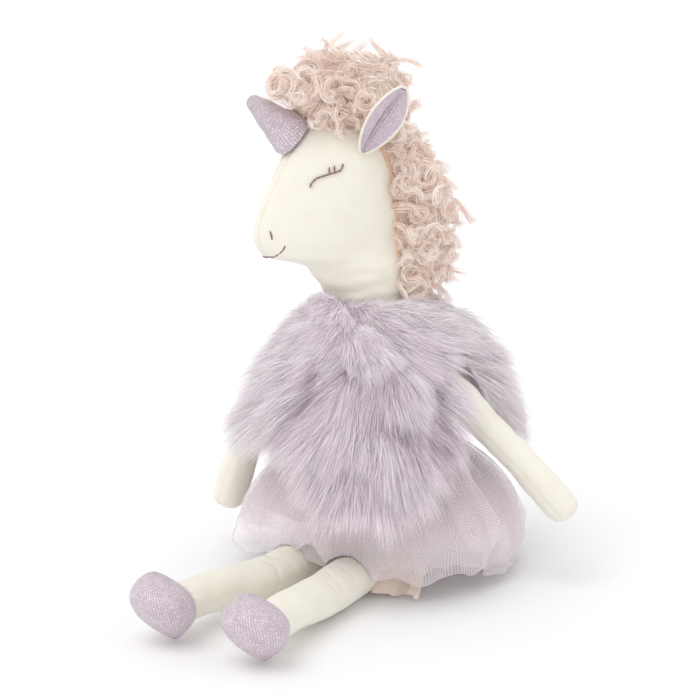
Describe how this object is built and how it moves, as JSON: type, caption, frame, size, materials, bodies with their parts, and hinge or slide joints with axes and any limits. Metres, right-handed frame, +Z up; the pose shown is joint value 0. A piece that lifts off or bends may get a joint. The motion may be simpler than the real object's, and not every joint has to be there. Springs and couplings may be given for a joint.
{
  "type": "plush unicorn doll",
  "caption": "Sitting cloth unicorn doll with a horn, curly mane, fur stole and tulle skirt; head, arms and legs turn at stitched seams.",
  "frame": {"origin": "centre of the flat seat panel under the torso, on the surface the doll sits on", "axes": "+Z up, out of the seat; the doll faces -Y and its left side is +X"},
  "size_m": [0.2192, 0.2746, 0.317],
  "materials": {
    "cream_cotton": "matte",
    "polyester_filling": "matte",
    "pellet_filling": "matte",
    "glitter_knit": "satin",
    "embroidery_thread": "satin",
    "mohair": "satin",
    "faux_fur": "satin",
    "skirt_satin": "satin",
    "peach_organza": "satin",
    "glitter_tulle": "satin"
  },
  "bodies": {
    "torso": {"seat_panel": "cream_cotton", "torso_skin": "cream_cotton", "torso_stuffing": "polyester_filling", "pellet_bag": "pellet_filling", "hip_left_stitches": "cream_cotton", "hip_right_stitches": "cream_cotton", "stole_back": "faux_fur", "stole_left_front": "faux_fur", "stole_right_front": "faux_fur", "stole_loop": "faux_fur", "stole_tail": "faux_fur", "skirt_waistband": "skirt_satin", "skirt_lining": "skirt_satin", "underskirt_organza": "peach_organza", "tulle_inner": "glitter_tulle", "tulle_outer": "glitter_tulle"},
    "neck": {"neck_seam": "cream_cotton"},
    "head": {"head_left_panel": "cream_cotton", "head_right_panel": "cream_cotton", "head_gusset": "cream_cotton", "head_stuffing": "polyester_filling", "horn_skin": "glitter_knit", "horn_stuffing": "polyester_filling", "ear_left_back": "cream_cotton", "ear_left_lining": "glitter_knit", "ear_right_back": "cream_cotton", "ear_right_lining": "glitter_knit", "eye_left_embroidery": "embroidery_thread", "eye_right_embroidery": "embroidery_thread", "nostril_embroidery": "embroidery_thread", "mouth_embroidery": "embroidery_thread", "forelock": "mohair", "mane": "mohair"},
    "shoulder_left": {"shoulder_left_stitches": "cream_cotton"},
    "arm_left": {"arm_left_skin": "cream_cotton", "arm_left_stuffing": "polyester_filling"},
    "shoulder_right": {"shoulder_right_stitches": "cream_cotton"},
    "arm_right": {"arm_right_skin": "cream_cotton", "arm_right_stuffing": "polyester_filling"},
    "leg_left": {"leg_left_skin": "cream_cotton", "leg_left_stuffing": "polyester_filling", "hoof_left_skin": "glitter_knit", "hoof_left_stuffing": "polyester_filling"},
    "leg_right": {"leg_right_skin": "cream_cotton", "leg_right_stuffing": "polyester_filling", "hoof_right_skin": "glitter_knit", "hoof_right_stuffing": "polyester_filling"}
  },
  "joints": [
    {"name": "head_turn", "type": "hinge", "parent": "torso", "child": "neck", "pos_m": [0, -0.02, 0.149], "axis": [0, 0, 1], "range_deg": [-7, 83]},
    {"name": "head_nod", "type": "hinge", "parent": "neck", "child": "head", "pos_m": [0, -0.02, 0.149], "axis": [0.788, -0.6157, 0], "range_deg": [-5, 10]},
    {"name": "arm_left_swing", "type": "hinge", "parent": "torso", "child": "shoulder_left", "pos_m": [0.042, -0.014, 0.127], "axis": [1, 0, 0], "range_deg": [-38, 25]},
    {"name": "arm_left_lift", "type": "hinge", "parent": "shoulder_left", "child": "arm_left", "pos_m": [0.042, -0.014, 0.127], "axis": [0, 1, 0], "range_deg": [-45, 8]},
    {"name": "arm_right_swing", "type": "hinge", "parent": "torso", "child": "shoulder_right", "pos_m": [-0.042, -0.014, 0.127], "axis": [1, 0, 0], "range_deg": [-30, 45]},
    {"name": "arm_right_lift", "type": "hinge", "parent": "shoulder_right", "child": "arm_right", "pos_m": [-0.042, -0.014, 0.127], "axis": [0, 1, 0], "range_deg": [0, 50]},
    {"name": "leg_left_swing", "type": "hinge", "parent": "torso", "child": "leg_left", "pos_m": [0.0155, -0.0375, 0.012], "axis": [0.9945, 0.1045, 0], "range_deg": [-5, 76], "deforming": ["skirt_lining", "underskirt_organza", "tulle_inner", "tulle_outer"]},
    {"name": "leg_right_swing", "type": "hinge", "parent": "torso", "child": "leg_right", "pos_m": [-0.0155, -0.0375, 0.012], "axis": [0.9945, -0.1045, 0], "range_deg": [-5, 76]}
  ]
}
